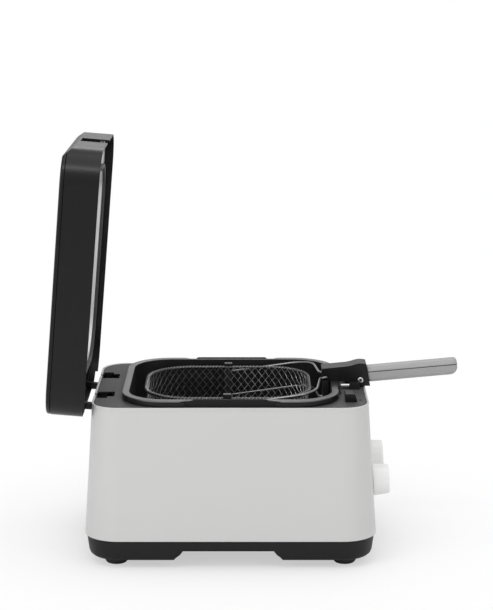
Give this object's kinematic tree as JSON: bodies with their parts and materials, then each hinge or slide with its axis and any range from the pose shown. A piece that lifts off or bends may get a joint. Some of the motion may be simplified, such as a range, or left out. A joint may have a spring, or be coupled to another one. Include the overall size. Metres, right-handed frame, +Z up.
{
  "type": "deep fryer",
  "caption": "Household deep fryer: tapered white housing, hinged black lid, lift-out round-cornered bowl, and a wire-mesh basket on a lowering linkage with a side handle.",
  "frame": {"origin": "centre of the four feet's footprint, on the worktop, under the middle of the housing", "axes": "+Z up; +X towards the front with the knobs and the basket handle; the lid's hinge is at -X; +Y across the body"},
  "size_m": [0.5186, 0.2726, 0.5209],
  "materials": {
    "white_shell": "gloss moulded plastic, warm white",
    "black_base": "satin moulded plastic, black",
    "rubber_feet": "matte rubber, dark",
    "deck_grey": "fine-textured plastic, dark grey",
    "lid_black": "satin moulded plastic, near black",
    "liner_steel": "satin pressed steel",
    "well_steel": "dull aluminised steel",
    "bowl_steel": "satin stainless steel",
    "nonstick": "satin non-stick coating, black",
    "hot_plate_cast": "cast aluminium",
    "element_steel": "oxidised steel tube",
    "zinc_plate": "zinc-plated steel",
    "control_case": "cream phenolic",
    "knob_white": "gloss moulded plastic, white",
    "seal_silicone": "silicone, dark grey",
    "filter_felt": "needled filter felt",
    "grip_grey": "satin moulded plastic, mid grey",
    "wire_steel": "nickel-plated steel wire",
    "mesh_steel": "tinned steel mesh",
    "bracket_dark": "dark enamelled steel strap"
  },
  "bodies": {
    "root": {"outer_shell": "white_shell", "base_tray": "black_base", "feet": "rubber_feet", "base_screws": "zinc_plate", "cord_gland": "black_base", "terminal_block": "control_case", "deck": "deck_grey", "lid_catches": "black_base", "handle_rest_pin": "zinc_plate", "hinge_pins": "zinc_plate", "well_liner": "well_steel", "hot_plate": "hot_plate_cast", "hot_plate_posts": "zinc_plate", "heating_element": "element_steel", "thermal_cutout": "control_case", "thermostat": "control_case", "timer": "control_case"},
    "thermostat_dial": {"thermostat_shaft": "zinc_plate", "thermostat_knob": "knob_white"},
    "timer_dial": {"timer_shaft": "zinc_plate", "timer_knob": "knob_white"},
    "lid": {"lid_frame": "lid_black", "lid_cover": "lid_black", "lid_liner": "liner_steel", "lid_seal": "seal_silicone", "filter_mat": "filter_felt", "hinge_arms": "lid_black"},
    "bowl": {"bowl_shell": "bowl_steel", "bowl_lining": "nonstick", "bowl_rim_bands": "black_base", "bowl_feet": "black_base"},
    "handle": {"handle_head": "lid_black", "handle_grip": "grip_grey", "handle_rivet": "zinc_plate", "link_plate": "bracket_dark"},
    "upper_arm": {"upper_arms": "wire_steel"},
    "lower_arm": {"lower_arms": "wire_steel"},
    "basket": {"basket_rim": "wire_steel", "basket_mesh": "mesh_steel", "basket_floor": "mesh_steel", "basket_brackets": "bracket_dark"}
  },
  "joints": [
    {"name": "lid_hinge", "type": "hinge", "parent": "root", "child": "lid", "pos_m": [-0.162, 0, 0.187], "axis": [0, 1, 0], "range_deg": [0, 85.3]},
    {"name": "thermostat_turn", "type": "hinge", "parent": "root", "child": "thermostat_dial", "pos_m": [0.17878, -0.0585, 0.0945], "axis": [0.9979, 0, 0.0645], "range_deg": [-270, 0]},
    {"name": "timer_turn", "type": "hinge", "parent": "root", "child": "timer_dial", "pos_m": [0.17878, 0.0585, 0.0945], "axis": [0.9979, 0, 0.0645], "range_deg": [-300, 0]},
    {"name": "bowl_lift", "type": "slide", "parent": "root", "child": "bowl", "axis": [0, 0, 1], "range_m": [0, 0.2555]},
    {"name": "basket_lift", "type": "slide", "parent": "bowl", "child": "handle", "axis": [0, 0, 1], "range_m": [0, 0.1455]},
    {"name": "basket_lower", "type": "hinge", "parent": "handle", "child": "upper_arm", "pos_m": [0.1225, 0, 0.2175], "axis": [0, 1, 0], "range_deg": [-18, 0]},
    {"name": "lower_arm_turn", "type": "hinge", "parent": "handle", "child": "lower_arm", "pos_m": [0.1225, 0, 0.1855], "axis": [0, 1, 0], "range_deg": [-18, 0]},
    {"name": "basket_level", "type": "hinge", "parent": "upper_arm", "child": "basket", "pos_m": [-0.004, 0, 0.19972], "axis": [0, 1, 0], "range_deg": [0, 18]}
  ],
  "couplings": [
    {"joint": "lower_arm_turn", "follows": "basket_lower", "ratio": 1},
    {"joint": "basket_level", "follows": "basket_lower", "ratio": -1}
  ]
}
